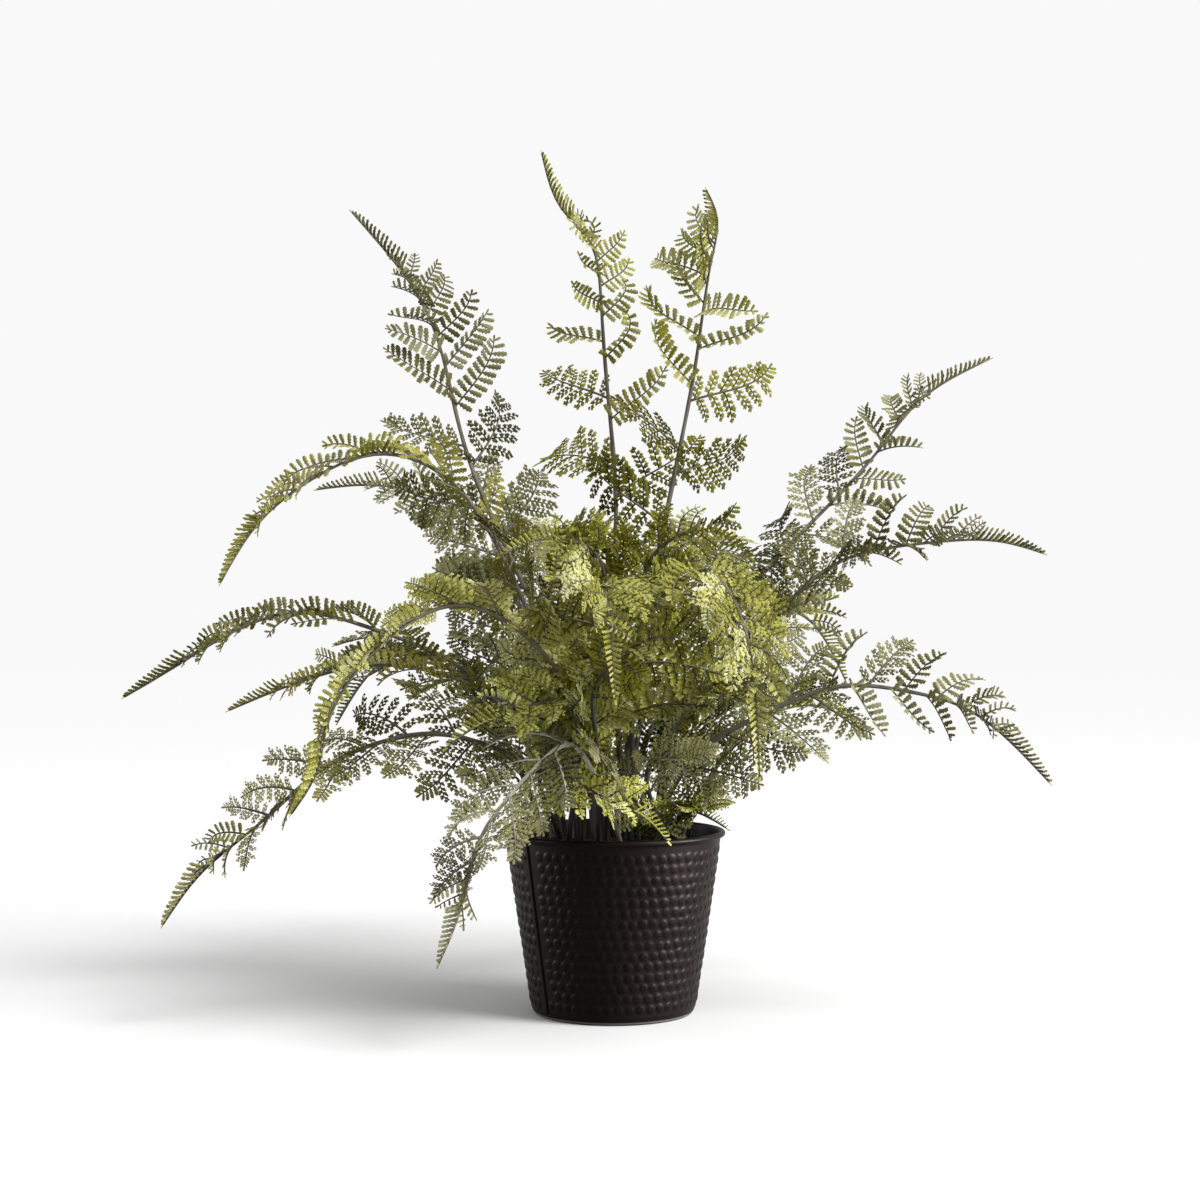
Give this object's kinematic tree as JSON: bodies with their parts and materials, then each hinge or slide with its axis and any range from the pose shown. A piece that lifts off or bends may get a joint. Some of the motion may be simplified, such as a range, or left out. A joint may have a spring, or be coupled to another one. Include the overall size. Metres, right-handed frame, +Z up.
{
  "type": "potted lace fern",
  "caption": "Lace fern with arching, finely divided fronds rising from soil in a tapered hammered metal pot with a rolled rim.",
  "frame": {"origin": "centre of the pot's flat underside", "axes": "+Z up through the pot's axis, -Y towards the plant's front as pictured, +X to the right seen from the front"},
  "size_m": [0.5617, 0.4714, 0.5222],
  "materials": {
    "espresso_metal": "satin",
    "base_metal": "satin",
    "soil": "matte",
    "olive_frond": "matte",
    "green_frond": "matte",
    "yellow_frond": "matte",
    "grey_frond": "matte",
    "silver_frond": "matte"
  },
  "bodies": {
    "root": {"pot_wall": "espresso_metal", "pot_base": "base_metal", "soil": "soil", "frond_01": "olive_frond", "frond_02": "green_frond", "frond_03": "green_frond", "frond_04": "grey_frond", "frond_05": "olive_frond", "frond_06": "olive_frond", "frond_07": "yellow_frond", "frond_08": "olive_frond", "frond_09": "olive_frond", "frond_10": "olive_frond", "frond_11": "yellow_frond", "frond_12": "olive_frond", "frond_13": "grey_frond", "frond_14": "grey_frond", "frond_15": "silver_frond", "frond_16": "yellow_frond", "frond_17": "green_frond", "frond_18": "yellow_frond", "frond_19": "green_frond", "frond_20": "green_frond", "frond_21": "green_frond", "frond_22": "green_frond", "frond_23": "yellow_frond", "frond_24": "green_frond", "frond_25": "green_frond", "frond_26": "grey_frond", "frond_27": "green_frond", "frond_28": "green_frond", "frond_29": "green_frond", "frond_30": "grey_frond", "frond_31": "green_frond", "frond_32": "green_frond"}
  },
  "joints": []
}
